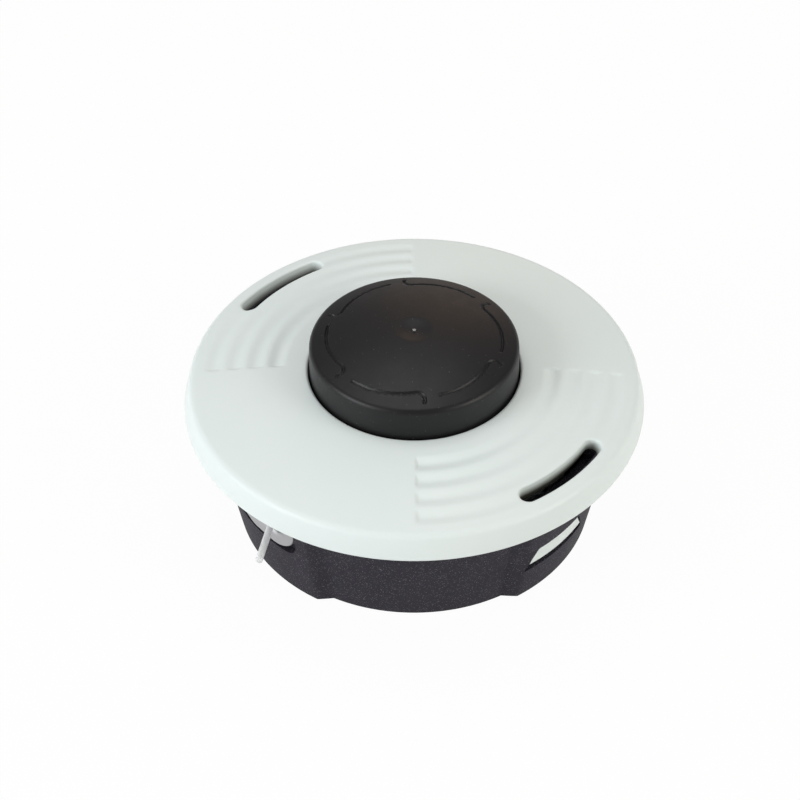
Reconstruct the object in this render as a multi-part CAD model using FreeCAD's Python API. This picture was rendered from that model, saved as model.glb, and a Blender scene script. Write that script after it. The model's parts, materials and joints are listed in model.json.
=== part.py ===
import FreeCAD, Part
import math
import os

# Housing wall, with two wide lobes and a recess between them at the front and the back
BASE_R = 49.1
WALL_DRAFT = 7.2
WALL_T = 2.6
LOBE_COUNT = 2
LOBE_OUT = 2.6
LOBE_HALF_DEG = 61.6
LOBE_SLOPE_DEG = 4.3
LOBE_TURN_DEG = 1.2
FOOT_H = 2.2
FOOT_W = 6.3

# Housing floor, hub and post
FLOOR_Z = 3.4
FLOOR_T = 2.4
HUB_R = 17.0
RIB_COUNT = 12
RIB_T = 2.2
POST_R = 13.0

# Drive nut, a bush with a hexagon head
THREAD_R = 4.32
NUT_FLATS = 17.0
NUT_HEAD_H = 6.0
NUT_SHANK_R = 7.0
NUT_H = 19.0
NUT_MOUTH = 1.0
NUT_GAP = 0.05

# Cover
SKIRT_Z = 37.4
SKIRT_H = 7.4
SKIRT_DRAFT = 2.0
SKIRT_T = 2.2
OVERHANG = 6.95
CROWN_RISE = 3.1
CROWN_BULGE = 0.45
COVER_T = 3.0
SHOULDER_T = 2.4
SHOULDER_ROUND = 2.2
HOLE_ROUND = 0.7
COLLAR_T = 2.5
COLLAR_DROP = 1.2
REGISTER_H = 2.8
REGISTER_T = 1.6
REGISTER_GAP = 0.6

# Cover grooves and slots
GROOVE_COUNT = 4
GROOVE_FIRST = 8.95
GROOVE_HALF_W = 2.7
GROOVE_DEPTH = 0.55
GROOVE_FADE = 0.05
GROOVE_SPAN_DEG = 90.0
SLOT_INSET = 6.5
SLOT_HALF_W = 2.4
SLOT_HALF_DEG = 15.5
SLOT_TURN_DEG = 45.0
SLOT_WELL = 4.4
SLOT_WELL_DEG = 10.5
SLOT_LIP = 0.9

# Latch windows and tabs
LATCH_TURN_DEG = 42.5
WINDOW_Z = 11.3
WINDOW_H = 8.2
WINDOW_LOW_W = 11.7
WINDOW_TOP_W = 8.2
TAB_T = 2.6
TAB_GAP = 0.5
HOOK_GAP = 0.3
HOOK_H = 7.0
HOOK_RECESS = 0.3
HOOK_LEAD = 4.0
TAB_SIDE = 0.8

# Bump knob
KNOB_R = 29.4
KNOB_DRAFT = 0.3
KNOB_GAP = 0.55
KNOB_STAND = 8.9
KNOB_DOME = 4.8
KNOB_EDGE_R = 1.8
KNOB_WALL = 3.0
KNOB_FLANGE_W = 3.4
KNOB_FLANGE_T = 2.0
SWIRL_COUNT = 6
SWIRL_START_DEG = 167.0
SWIRL_DEG = 44.0
SWIRL_SHARE = 0.84
SWIRL_EASE = 0.052
SWIRL_HOOK = 3.1
SWIRL_HOOK_DEG = 5.0
SWIRL_R = 0.5
DISH_R = 5.4
DISH_DEPTH = 0.45
NUB_R = 0.9

# Spool and feed lugs
TRAVEL = 6.0
FEED_DEG = 30.0
LUG_COUNT = 6
LUG_DEG = 12.0
LUG_GAP_DEG = 0.6
LUG_H = 3.5
LUG_W = 5.0
LUG_CLEAR = 2.0
LUG_LIP = 1.0
FACE_GAP = 0.3
FLOOR_GAP = 0.5
FLANGE_T = 2.0
CORE_T = 2.8
WEB_T = 3.0
SLEEVE_T = 2.2
SLEEVE_L = 11.0
SLIDE_GAP = 0.2
SNAP_GAP = 0.4
SNAP_RING_T = 2.4
SNAP_RING_H = 7.0
SNAP_BEAD = 0.7

# Spring and thrust washer
WIRE_R = 0.8
SPRING_TURNS = 7
SPRING_GAP = 1.1
WASHER_T = 1.2
WASHER_GAP = 0.3

# Eyelets
EYELET_TURN_DEG = 41.0
EYELET_HALF_W = 12.6
EYELET_HALF_H = 9.4
EYELET_Z = 27.0
EYELET_FLANGE_T = 2.2
EYELET_RIM = 5.6
EYELET_SIDE = 4.2
EYELET_WALL = 1.4
EYELET_INSIDE = 1.6
EYELET_GAP = 0.6
EYELET_CORNER = 9.0
BORE_ROUND = 0.9
POCKET_CORNER = 5.0
EYELET_FIT = 0.05

# Line, with the left end's route from the winding out through the eyelet
LINE_R = 1.0
LINE_ROUTE = [
    (-31.8, 3.6, 27.0),
    (-34.0, -11.4, 27.0),
    (-36.3, -26.4, 27.0),
    (-38.8, -41.4, 27.0),
    (-41.3, -54.5, 27.0),
]
BEND_SHARE = 0.45
WINDING_T = 8.55
WINDING_GAP = 0.1
WINDING_DIP = 0.6
WINDING_FLAT = 0.4

# Flat sides of small round sections, and the overlap of joined pieces
SECTION_SIDES = 8
OVERLAP = 1.0

# Derived heights
RIM_Z = SKIRT_Z + SKIRT_H - SHOULDER_T
SHOULDER_Z = SKIRT_Z + SKIRT_H
HOLE_Z = SHOULDER_Z + CROWN_RISE
FLOOR_TOP = FLOOR_Z + FLOOR_T
COLLAR_UNDER_Z = HOLE_Z - COVER_T

# Derived radii
HOLE_R = KNOB_R + KNOB_GAP
COLLAR_R = HOLE_R + COLLAR_T
KNOB_FLANGE_R = KNOB_R + KNOB_FLANGE_W
LUG_R_IN = KNOB_FLANGE_R + LUG_CLEAR
LUG_R_OUT = LUG_R_IN + LUG_W
SPOOL_R = LUG_R_OUT + LUG_LIP
SLEEVE_R_IN = POST_R + SLIDE_GAP
SLEEVE_R = SLEEVE_R_IN + SLEEVE_T
SPRING_R = SLEEVE_R + SPRING_GAP + WIRE_R
CORE_R_IN = SPRING_R + WIRE_R + SPRING_GAP
CORE_R = CORE_R_IN + CORE_T
WINDING_R = CORE_R + WINDING_T
SNAP_R = KNOB_R - KNOB_WALL - SNAP_GAP


def wall_r(z):
    return BASE_R + WALL_DRAFT * z / RIM_Z


def lobe_r(z):
    return wall_r(z) + LOBE_OUT


COVER_R = lobe_r(SKIRT_Z) + OVERHANG
SHOULDER_R = COVER_R - SKIRT_DRAFT
SLOT_R = SHOULDER_R - SLOT_INSET
REGISTER_R = wall_r(RIM_Z) - WALL_T - REGISTER_GAP
RECESS_R = BASE_R - FOOT_W
TAB_Z = WINDOW_Z + WINDOW_H - HOOK_GAP - HOOK_H
TAB_R = wall_r(TAB_Z) - WALL_T - TAB_GAP
CROWN_SLOPE = (COLLAR_UNDER_Z - RIM_Z) / (REGISTER_R - COLLAR_R)


def cover_under(r):
    return COLLAR_UNDER_Z - CROWN_SLOPE * (r - COLLAR_R)


# Spool stack, from the cover down
FLANGE_TOP = cover_under(LUG_R_OUT) - FACE_GAP - LUG_H
STOP_LOW = FLANGE_TOP + FACE_GAP
SPOOL_LOW = FLOOR_TOP + FLOOR_GAP + LUG_H + TRAVEL
WEB_Z = FLANGE_TOP - WEB_T
POST_TOP = WEB_Z - TRAVEL - FLOOR_GAP
WASHER_Z = WEB_Z - WASHER_T
KNOB_TOP = HOLE_Z + KNOB_STAND
KNOB_TOP_R = KNOB_R - KNOB_DRAFT
DOME_R = (KNOB_TOP_R ** 2 + KNOB_DOME ** 2) / (2 * KNOB_DOME)
LUG_MID_DEG = LUG_DEG + LUG_GAP_DEG
FLOOR_STOP_DEG = LUG_MID_DEG + FEED_DEG + LUG_DEG + LUG_GAP_DEG

EYELET_DEG = {"left": EYELET_TURN_DEG - 180.0, "right": EYELET_TURN_DEG}
LATCH_DEG = (-LATCH_TURN_DEG, 180.0 - LATCH_TURN_DEG)
SLOT_DEG = (-SLOT_TURN_DEG, 180.0 - SLOT_TURN_DEG)


def at(r, deg, z):
    a = math.radians(deg)
    return FreeCAD.Vector(r * math.cos(a), r * math.sin(a), z)


def turned(shape, deg):
    copy = shape.copy()
    copy.rotate(FreeCAD.Vector(0, 0, 0), FreeCAD.Vector(0, 0, 1), deg)
    return copy


def around(shape, count):
    return [turned(shape, 360.0 * k / count) for k in range(count)]


def cylinder(r, z0, z1):
    return Part.makeCylinder(r, z1 - z0, FreeCAD.Vector(0, 0, z0))


def ring(r_in, r_out, z0, z1):
    return cylinder(r_out, z0, z1).cut(cylinder(r_in, z0 - OVERLAP, z1 + OVERLAP))


def sector(r_in, r_out, z0, z1, deg, half_deg):
    up = FreeCAD.Vector(0, 0, 1)
    low = FreeCAD.Vector(0, 0, z0)
    outer = Part.makeCylinder(r_out, z1 - z0, low, up, 2 * half_deg)
    piece = outer.cut(cylinder(r_in, z0 - OVERLAP, z1 + OVERLAP))
    return turned(piece, deg - half_deg)


def spun(points):
    corners = [FreeCAD.Vector(r, 0, z) for r, z in points]
    face = Part.Face(Part.makePolygon(corners + corners[:1]))
    return face.revolve(FreeCAD.Vector(0, 0, 0), FreeCAD.Vector(0, 0, 1), 360)


def spun_edges(edges):
    face = Part.Face(Part.Wire(edges))
    return face.revolve(FreeCAD.Vector(0, 0, 0), FreeCAD.Vector(0, 0, 1), 360)


def line(a, b):
    return Part.makeLine(FreeCAD.Vector(a[0], 0, a[1]), FreeCAD.Vector(b[0], 0, b[1]))


def arc(a, mid, b):
    points = [FreeCAD.Vector(p[0], 0, p[1]) for p in (a, mid, b)]
    return Part.Arc(*points).toShape()


def lines(points):
    return [line(a, b) for a, b in zip(points, points[1:])]


# Two neighbouring edges of a profile with their corner rounded
def rounded(first, second, radius):
    plane = Part.Plane(FreeCAD.Vector(0, 0, 0), FreeCAD.Vector(0, 1, 0))
    tool = Part.ChFi2d.FilletAPI(first, second, plane)
    tool.perform(radius)
    corner, before, after = tool.result(second.Vertexes[0].Point)
    return [before, corner, after]


# Rounded block lying along a radius, with its corners rounded
def radial_block(half_w, half_h, corner, r0, r1, deg, z):
    box = Part.makeBox(r1 - r0, 2 * half_w, 2 * half_h, FreeCAD.Vector(r0, -half_w, z - half_h))
    long_edges = [e for e in box.Edges if e.BoundBox.XLength > (r1 - r0) / 2 and e.BoundBox.YLength < 1e-6]
    return turned(box.makeFillet(corner, long_edges), deg)


# Flat-sided block lying along a radius, from its corners across and up
def radial_prism(corners, r0, r1, deg):
    points = [FreeCAD.Vector(r0, across, up) for across, up in corners]
    face = Part.Face(Part.makePolygon(points + points[:1]))
    return turned(face.extrude(FreeCAD.Vector(r1 - r0, 0, 0)), deg)


def lobe_cone(offset):
    return Part.makeCone(lobe_r(0) + offset, lobe_r(RIM_Z) + offset, RIM_Z)


# Many-sided face round a centre, in the plane of a side direction and the drive axis
def round_section(centre, across, radius):
    corners = []
    for k in range(SECTION_SIDES + 1):
        a = 2 * math.pi * (k + 0.5) / SECTION_SIDES
        corners.append(centre + across * (radius * math.cos(a)) + at(0, 0, radius * math.sin(a)))
    return Part.Face(Part.makePolygon(corners))


# Bar bent round a circle, from a start point and heading to an end point
def bent_bar(section, heading, start, end):
    chord = end - start
    side = (chord - heading * chord.dot(heading)).normalize()
    centre = start + side * (chord.Length ** 2 / (2 * chord.dot(side)))
    sweep = 2 * math.degrees(math.atan2(chord.dot(side), chord.dot(heading)))
    axis = heading.cross(side)
    moved = section.copy()
    moved.rotate(centre, axis, sweep)
    return section.revolve(centre, axis, sweep), moved, FreeCAD.Rotation(axis, sweep).multVec(heading)


# Outline of the wall with its lobes
def slope(r0, deg0, r1, deg1, z):
    return Part.makeLine(at(r0, deg0, z), at(r1, deg1, z))


def round_arc(r, deg0, deg1, z):
    return Part.Arc(at(r, deg0, z), at(r, (deg0 + deg1) / 2, z), at(r, deg1, z)).toShape()


def outline(r, z):
    top = r + LOBE_OUT
    inner = LOBE_HALF_DEG - LOBE_SLOPE_DEG
    step = 360.0 / LOBE_COUNT
    edges = []
    for k in range(LOBE_COUNT):
        mid = LOBE_TURN_DEG + step * k
        edges.append(slope(r, mid - LOBE_HALF_DEG, top, mid - inner, z))
        edges.append(round_arc(top, mid - inner, mid + inner, z))
        edges.append(slope(top, mid + inner, r, mid + LOBE_HALF_DEG, z))
        edges.append(round_arc(r, mid + LOBE_HALF_DEG, mid + step - LOBE_HALF_DEG, z))
    return Part.Wire(edges)


# Housing
def housing_shell():
    outer = Part.makeLoft([outline(BASE_R, 0), outline(wall_r(RIM_Z), RIM_Z)], True, True)
    r0, r1 = wall_r(FLOOR_TOP) - WALL_T, wall_r(RIM_Z) - WALL_T
    cavity = Part.makeCone(r0, r1, RIM_Z - FLOOR_TOP, FreeCAD.Vector(0, 0, FLOOR_TOP))
    return outer.cut(cavity)


def underside_pockets():
    pockets = ring(HUB_R, RECESS_R, -OVERLAP, FLOOR_Z)
    bar = Part.makeBox(RECESS_R, RIB_T, FLOOR_Z, FreeCAD.Vector(0, -RIB_T / 2, FOOT_H))
    return pockets.cut(Part.makeCompound(around(turned(bar, 180.0 / RIB_COUNT), RIB_COUNT)))


def hex_prism(flats, z0, z1):
    corners = [at(flats / math.sqrt(3), 60 * k, z0) for k in range(7)]
    return Part.Face(Part.makePolygon(corners)).extrude(FreeCAD.Vector(0, 0, z1 - z0))


# Latch window, narrower at its top
def window_half(z):
    return WINDOW_LOW_W + (WINDOW_TOP_W - WINDOW_LOW_W) * (z - WINDOW_Z) / WINDOW_H


def window_block(low, high, side, r0, r1, deg):
    wide, narrow = window_half(low) - side, window_half(high) - side
    corners = [(-wide, low), (wide, low), (narrow, high), (-narrow, high)]
    return radial_prism(corners, r0, r1, deg)


def housing_cuts():
    cuts = [underside_pockets()]
    cuts.append(hex_prism(NUT_FLATS + 2 * NUT_GAP, -OVERLAP, NUT_HEAD_H))
    cuts.append(cylinder(NUT_SHANK_R + NUT_GAP, 0, NUT_H))
    cuts.append(cylinder(THREAD_R + NUT_MOUTH, 0, POST_TOP + OVERLAP))
    for deg in LATCH_DEG:
        cuts.append(window_block(WINDOW_Z, WINDOW_Z + WINDOW_H, 0, TAB_R - TAB_T, COVER_R, deg))
    well_z = RIM_Z - SLOT_WELL
    well_r = lobe_r(well_z) - SLOT_LIP
    cuts += [sector(REGISTER_R, well_r, well_z, RIM_Z + OVERLAP, deg, SLOT_WELL_DEG) for deg in SLOT_DEG]
    for deg in EYELET_DEG.values():
        half_w, half_h = EYELET_HALF_W + EYELET_GAP, EYELET_HALF_H + EYELET_GAP
        pocket = radial_block(half_w, half_h, POCKET_CORNER, TAB_R, COVER_R, deg, EYELET_Z)
        cuts.append(pocket.cut(lobe_cone(-EYELET_FLANGE_T - EYELET_FIT)))
        cuts.append(eyelet_sleeve(EYELET_FIT, COVER_R, deg))
    return cuts


def housing():
    body = housing_shell().fuse(cylinder(POST_R, FLOOR_Z, POST_TOP))
    stop_h = FLOOR_GAP + LUG_H - FACE_GAP
    stop = sector(LUG_R_IN, LUG_R_OUT, FLOOR_Z + OVERLAP, FLOOR_TOP + stop_h, FLOOR_STOP_DEG, LUG_DEG / 2)
    body = body.fuse(around(stop, LUG_COUNT))
    return body.cut(housing_cuts()).removeSplitter()


# Drive nut
def drive_nut():
    bush = hex_prism(NUT_FLATS, 0, NUT_HEAD_H).fuse(cylinder(NUT_SHANK_R, 0, NUT_H))
    mouth = Part.makeCone(THREAD_R + NUT_MOUTH, THREAD_R, NUT_MOUTH)
    return bush.cut([cylinder(THREAD_R, -OVERLAP, NUT_H + OVERLAP), mouth]).removeSplitter()


# Eyelets
def eyelet_sleeve(extra, r_out, deg):
    half_w = EYELET_HALF_W - EYELET_SIDE + EYELET_WALL + extra
    half_h = EYELET_HALF_H - EYELET_RIM + EYELET_WALL + extra
    r_in = wall_r(EYELET_Z) - WALL_T - EYELET_INSIDE
    return radial_block(half_w, half_h, half_h * BORE_ROUND, r_in, r_out, deg, EYELET_Z)


def eyelet(deg):
    skin = lobe_cone(0)
    blank = radial_block(EYELET_HALF_W, EYELET_HALF_H, EYELET_CORNER, TAB_R, COVER_R, deg, EYELET_Z)
    flange = blank.common(skin).cut(lobe_cone(-EYELET_FLANGE_T))
    sleeve = eyelet_sleeve(0, COVER_R, deg).common(skin)
    half_w, half_h = EYELET_HALF_W - EYELET_SIDE, EYELET_HALF_H - EYELET_RIM
    bore = radial_block(half_w, half_h, half_h * BORE_ROUND, POST_R, COVER_R, deg, EYELET_Z)
    return flange.fuse(sleeve).cut(bore).removeSplitter()


# Spring, with a flat half turn at each end, and thrust washer
def spring():
    low, high = FLOOR_TOP + WIRE_R, WASHER_Z - WIRE_R
    rising = 2 * SPRING_TURNS - 2
    start, heading = at(SPRING_R, 0, low), at(1, 90, 0)
    section = round_section(start, at(1, 0, 0), WIRE_R)
    faces = [section]
    for k in range(rising + 2):
        share = min(k, rising) / rising
        end = at(SPRING_R, 180 * (k + 1), low + (high - low) * share)
        half, section, heading = bent_bar(section, heading, start, end)
        faces += [face for face in half.Faces if face.CenterOfMass.distanceToPoint(end) > SPRING_R / 2
                  and face.CenterOfMass.distanceToPoint(start) > SPRING_R / 2]
        start = end
    coil = Part.makeShell(faces + [section])
    coil.sewShape()
    return Part.makeSolid(coil)


def thrust_washer():
    return ring(SLEEVE_R + WASHER_GAP, CORE_R_IN - WASHER_GAP, WASHER_Z, WEB_Z)


# Spool
def spool():
    top = FLANGE_TOP + SNAP_RING_H
    bead_z = FLANGE_TOP + SNAP_RING_H / 2
    body = spun([
        (0, FLANGE_TOP),
        (SNAP_R - SNAP_RING_T, FLANGE_TOP),
        (SNAP_R - SNAP_RING_T, top),
        (SNAP_R, top),
        (SNAP_R, bead_z + SNAP_BEAD),
        (SNAP_R - SNAP_BEAD, bead_z),
        (SNAP_R, bead_z - SNAP_BEAD),
        (SNAP_R, FLANGE_TOP),
        (SPOOL_R, FLANGE_TOP),
        (SPOOL_R, FLANGE_TOP - FLANGE_T),
        (CORE_R, FLANGE_TOP - FLANGE_T),
        (CORE_R, SPOOL_LOW + FLANGE_T),
        (SPOOL_R, SPOOL_LOW + FLANGE_T),
        (SPOOL_R, SPOOL_LOW),
        (CORE_R_IN, SPOOL_LOW),
        (CORE_R_IN, WEB_Z),
        (SLEEVE_R, WEB_Z),
        (SLEEVE_R, WEB_Z - SLEEVE_L),
        (SLEEVE_R_IN, WEB_Z - SLEEVE_L),
        (SLEEVE_R_IN, WEB_Z),
        (0, WEB_Z),
    ])
    half = LUG_DEG / 2
    upper = sector(LUG_R_IN, LUG_R_OUT, FLANGE_TOP - OVERLAP, FLANGE_TOP + LUG_H, LUG_MID_DEG, half)
    lower = sector(LUG_R_IN, LUG_R_OUT, SPOOL_LOW - LUG_H, SPOOL_LOW + OVERLAP, LUG_MID_DEG, half)
    return body.fuse(around(upper, LUG_COUNT) + around(lower, LUG_COUNT)).removeSplitter()


# Line ends, as straight runs joined by tangent arcs
def straight(start, end):
    return Part.makeCylinder(LINE_R, (end - start).Length, start, end - start)


def line_end():
    points = [FreeCAD.Vector(*point) for point in LINE_ROUTE]
    pieces = []
    last = points[0]
    for before, corner, after in zip(points, points[1:], points[2:]):
        cut = BEND_SHARE * min((corner - before).Length, (after - corner).Length)
        heading, leaving = (corner - before).normalize(), (after - corner).normalize()
        start, end = corner - heading * cut, corner + leaving * cut
        disc = Part.Face(Part.Wire(Part.makeCircle(LINE_R, start, heading)))
        pieces += [straight(last, start), bent_bar(disc, heading, start, end)[0]]
        last = end
        print("line bend radius", round(cut / math.tan(heading.getAngle(leaving) / 2), 1))
    return straight(last, points[-1]).fuse(pieces)


def line_winding():
    low, high = SPOOL_LOW + FLANGE_T + WINDING_GAP, FLANGE_TOP - FLANGE_T - WINDING_GAP
    rows = int((high - low) / (2 * LINE_R))
    step = (high - low) / rows
    r_in, groove_r = CORE_R + WINDING_GAP, WINDING_R - WINDING_DIP * LINE_R
    points = [(r_in, low)]
    for k in range(rows):
        z = low + k * step
        side = step * (1 - WINDING_FLAT) / 2
        points += [(groove_r, z), (WINDING_R, z + side), (WINDING_R, z + step - side)]
    return spun(points + [(groove_r, high), (r_in, high)])


# Bump knob
def dome_z(r, depth=0):
    return KNOB_TOP + KNOB_DOME - DOME_R + math.sqrt((DOME_R - depth) ** 2 - r ** 2)


def knob_shell():
    base, inner = FLANGE_TOP, KNOB_R - KNOB_WALL
    bead_z = FLANGE_TOP + SNAP_RING_H / 2
    bead_r = SNAP_R - SNAP_BEAD / 2
    half = KNOB_TOP_R / 2
    top = arc((0, dome_z(0)), (half, dome_z(half)), (KNOB_TOP_R, KNOB_TOP))
    side = line((KNOB_TOP_R, KNOB_TOP), (KNOB_R, base + KNOB_FLANGE_T))
    edges = rounded(top, side, KNOB_EDGE_R) + lines([
        (KNOB_R, base + KNOB_FLANGE_T),
        (KNOB_FLANGE_R, base + KNOB_FLANGE_T),
        (KNOB_FLANGE_R, base),
        (inner, base),
        (inner, bead_z - SNAP_BEAD),
        (bead_r, bead_z),
        (inner, bead_z + SNAP_BEAD),
        (inner, dome_z(inner, KNOB_WALL)),
    ])
    under = [(r, dome_z(r, KNOB_WALL)) for r in (inner, half, 0)]
    edges += [arc(*under), line(under[2], (0, dome_z(0)))]
    return spun_edges(edges)


def swirl_groove():
    r_start = SWIRL_SHARE * KNOB_TOP_R
    r_turn = r_start - SWIRL_EASE * KNOB_TOP_R
    r_end = r_turn + SWIRL_HOOK
    turn_deg = SWIRL_START_DEG + SWIRL_DEG
    start, across = at(r_start, SWIRL_START_DEG, dome_z(r_start)), at(1, SWIRL_START_DEG, 0)
    turn = at(r_turn, turn_deg, dome_z(r_turn))
    end = at(r_end, turn_deg + SWIRL_HOOK_DEG, dome_z(r_end))
    section = round_section(start, across, SWIRL_R)
    sweep, section, heading = bent_bar(section, at(1, SWIRL_START_DEG + 90, 0), start, turn)
    return sweep.fuse(bent_bar(section, heading, turn, end)[0])


def bump_knob():
    knob = knob_shell()
    rim = dome_z(DISH_R)
    dish_r = (DISH_R ** 2 + DISH_DEPTH ** 2) / (2 * DISH_DEPTH)
    dish = Part.makeSphere(dish_r, FreeCAD.Vector(0, 0, rim + dish_r - DISH_DEPTH))
    floor = rim - DISH_DEPTH
    nub = Part.makeCone(NUB_R, NUB_R / 2, DISH_DEPTH + OVERLAP, FreeCAD.Vector(0, 0, floor - OVERLAP))
    return knob.cut([dish] + around(swirl_groove(), SWIRL_COUNT)).fuse(nub)


# Cover
def crown_z(r):
    span = SHOULDER_R - HOLE_R
    share = (SHOULDER_R - r) / span
    return SHOULDER_Z + CROWN_RISE * share + 4 * CROWN_BULGE * share * (1 - share)


def cover_shell():
    mid = (SHOULDER_R + HOLE_R) / 2
    low = COLLAR_UNDER_Z - COLLAR_DROP
    reg = REGISTER_R - REGISTER_T
    bore = line((HOLE_R, low), (HOLE_R, HOLE_Z))
    crown = arc((HOLE_R, HOLE_Z), (mid, crown_z(mid)), (SHOULDER_R, SHOULDER_Z))
    skirt = line((SHOULDER_R, SHOULDER_Z), (COVER_R, SKIRT_Z))
    bore, lip, crown = rounded(bore, crown, HOLE_ROUND)
    edges = [bore, lip] + rounded(crown, skirt, SHOULDER_ROUND) + lines([
        (COVER_R, SKIRT_Z),
        (COVER_R - SKIRT_T, SKIRT_Z),
        (SHOULDER_R - SKIRT_T, RIM_Z),
        (REGISTER_R, RIM_Z),
        (REGISTER_R, RIM_Z - REGISTER_H),
        (reg, RIM_Z - REGISTER_H),
        (reg, cover_under(reg)),
        (COLLAR_R, COLLAR_UNDER_Z),
        (COLLAR_R, low),
        (HOLE_R, low),
    ])
    return spun_edges(edges)


def groove_cuts():
    first = HOLE_R + GROOVE_FIRST
    pitch = (SLOT_R - first) / (GROOVE_COUNT - 1)
    cuts = []
    for k in range(GROOVE_COUNT):
        r = first + k * pitch
        depth = GROOVE_DEPTH - k * GROOVE_FADE
        round_r = (GROOVE_HALF_W ** 2 + depth ** 2) / (2 * depth)
        centre = FreeCAD.Vector(r, 0, crown_z(r) + round_r - depth)
        disc = Part.Face(Part.Wire(Part.makeCircle(round_r, centre, FreeCAD.Vector(0, 1, 0))))
        track = disc.revolve(FreeCAD.Vector(0, 0, 0), FreeCAD.Vector(0, 0, 1), GROOVE_SPAN_DEG)
        cuts += [turned(track, deg - GROOVE_SPAN_DEG / 2) for deg in SLOT_DEG]
    return cuts


def slot_cut(deg):
    low, high = RIM_Z - OVERLAP, HOLE_Z + OVERLAP
    half = SLOT_HALF_DEG - math.degrees(SLOT_HALF_W / SLOT_R)
    slot = sector(SLOT_R - SLOT_HALF_W, SLOT_R + SLOT_HALF_W, low, high, deg, half)
    for end in (deg - half, deg + half):
        slot = slot.fuse(Part.makeCylinder(SLOT_HALF_W, high - low, at(SLOT_R, end, low)))
    return slot.removeSplitter()


def latch_tab(deg):
    top = WINDOW_Z + WINDOW_H - HOOK_GAP
    inner, root = TAB_R - TAB_T, cover_under(TAB_R - TAB_T) + OVERLAP
    half = math.degrees(math.asin((window_half(TAB_Z) - TAB_SIDE) / TAB_R))
    hook_r = lobe_r(TAB_Z + HOOK_H / 2) - HOOK_RECESS
    strip = sector(inner, TAB_R, TAB_Z, root, deg, half)
    block = window_block(TAB_Z, top, TAB_SIDE, TAB_R - TAB_T / 2, COVER_R, deg)
    lead = Part.makeCone(TAB_R, TAB_R + HOOK_LEAD * HOOK_H, HOOK_H, FreeCAD.Vector(0, 0, TAB_Z))
    return strip.fuse(block.common(lead).common(cylinder(hook_r, TAB_Z, top)))


def cover():
    body = cover_shell()
    stop = sector(LUG_R_IN, LUG_R_OUT, STOP_LOW, COLLAR_UNDER_Z + OVERLAP, 0, LUG_DEG / 2)
    body = body.fuse(around(stop, LUG_COUNT) + [latch_tab(deg) for deg in LATCH_DEG])
    return body.cut(groove_cuts() + [slot_cut(deg) for deg in SLOT_DEG]).removeSplitter()


NODES = {
    "housing": housing(),
    "drive_nut": drive_nut(),
    "eyelet_left": eyelet(EYELET_DEG["left"]),
    "eyelet_right": eyelet(EYELET_DEG["right"]),
    "spring": spring(),
    "thrust_washer": thrust_washer(),
    "spool": spool(),
    "line_winding": line_winding(),
    "bump_knob": bump_knob(),
    "cover": cover(),
    "line_end_left": line_end(),
}
NODES["line_end_right"] = turned(NODES["line_end_left"], 180)

os.makedirs("parts", exist_ok=True)
for name, shape in NODES.items():
    shape.exportStep("parts/" + name + ".step")
    print(name, shape.isValid(), len(shape.Solids), round(shape.Volume, 1))
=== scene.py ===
# %% [markdown]
# # A bump feed trimmer head
# The head is a dark lobed cup with a white lid, a black knob that pokes through the lid, and two
# ends of cutting line that leave through metal eyelets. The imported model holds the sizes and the
# motion. This lesson gives each visible piece its finished surface, and starts by loading the frame.

# %% Load the frame
import json
import math

import bmesh
import bpy
import numpy as np
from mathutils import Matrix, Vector


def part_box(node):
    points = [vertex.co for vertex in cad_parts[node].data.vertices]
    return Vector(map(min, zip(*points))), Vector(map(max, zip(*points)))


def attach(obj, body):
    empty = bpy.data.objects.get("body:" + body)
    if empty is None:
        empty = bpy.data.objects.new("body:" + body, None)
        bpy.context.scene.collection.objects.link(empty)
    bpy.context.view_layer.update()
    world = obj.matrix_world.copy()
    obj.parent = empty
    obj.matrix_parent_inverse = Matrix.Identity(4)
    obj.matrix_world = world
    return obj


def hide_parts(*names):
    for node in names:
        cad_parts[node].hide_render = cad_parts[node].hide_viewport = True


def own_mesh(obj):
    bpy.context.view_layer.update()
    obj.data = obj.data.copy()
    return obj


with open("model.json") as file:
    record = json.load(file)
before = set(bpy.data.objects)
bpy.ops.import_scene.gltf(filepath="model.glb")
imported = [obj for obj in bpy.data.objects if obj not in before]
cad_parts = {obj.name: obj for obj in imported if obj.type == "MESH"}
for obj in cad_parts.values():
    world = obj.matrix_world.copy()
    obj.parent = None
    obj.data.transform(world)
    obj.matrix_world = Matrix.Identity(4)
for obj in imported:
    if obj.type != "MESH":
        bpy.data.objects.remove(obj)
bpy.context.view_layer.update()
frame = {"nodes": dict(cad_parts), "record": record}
nodes = frame["nodes"]
MM = 0.001
print("nodes:", sorted(nodes))

# %% [markdown]
# ## Camera
# The photograph looks down at about 42 degrees with a long lens, so the ellipses of the lid and
# the knob keep nearly the same shape. A small lens shift puts the drive axis right of the middle.

# %% Camera
LOOK_AT = Vector((0, 0, 37.4 * MM))
EYE = Vector((0, -404.3 * MM, 402.9 * MM))
LENS = 86.6
SHIFT = (-0.0178, -0.0075)

camera_data = bpy.data.cameras.new("camera")
camera_data.lens = LENS
camera_data.shift_x, camera_data.shift_y = SHIFT
camera = bpy.data.objects.new("camera", camera_data)
camera.location = EYE
camera.rotation_euler = (LOOK_AT - EYE).to_track_quat("-Z", "Y").to_euler()
bpy.context.scene.collection.objects.link(camera)
bpy.context.scene.camera = camera
print("camera looks down", round(math.degrees(math.atan2(EYE.z - LOOK_AT.z, -EYE.y)), 1), "degrees")

# %% [markdown]
# ## Cutting line
# Two stiff nylon ends come off the winding at a tangent, cross the cup and leave through the
# eyelets. Each is a smooth spline with the route's own points as control points, which a curve
# object can thicken by itself. The second end is the first one turned by half a turn.

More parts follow.
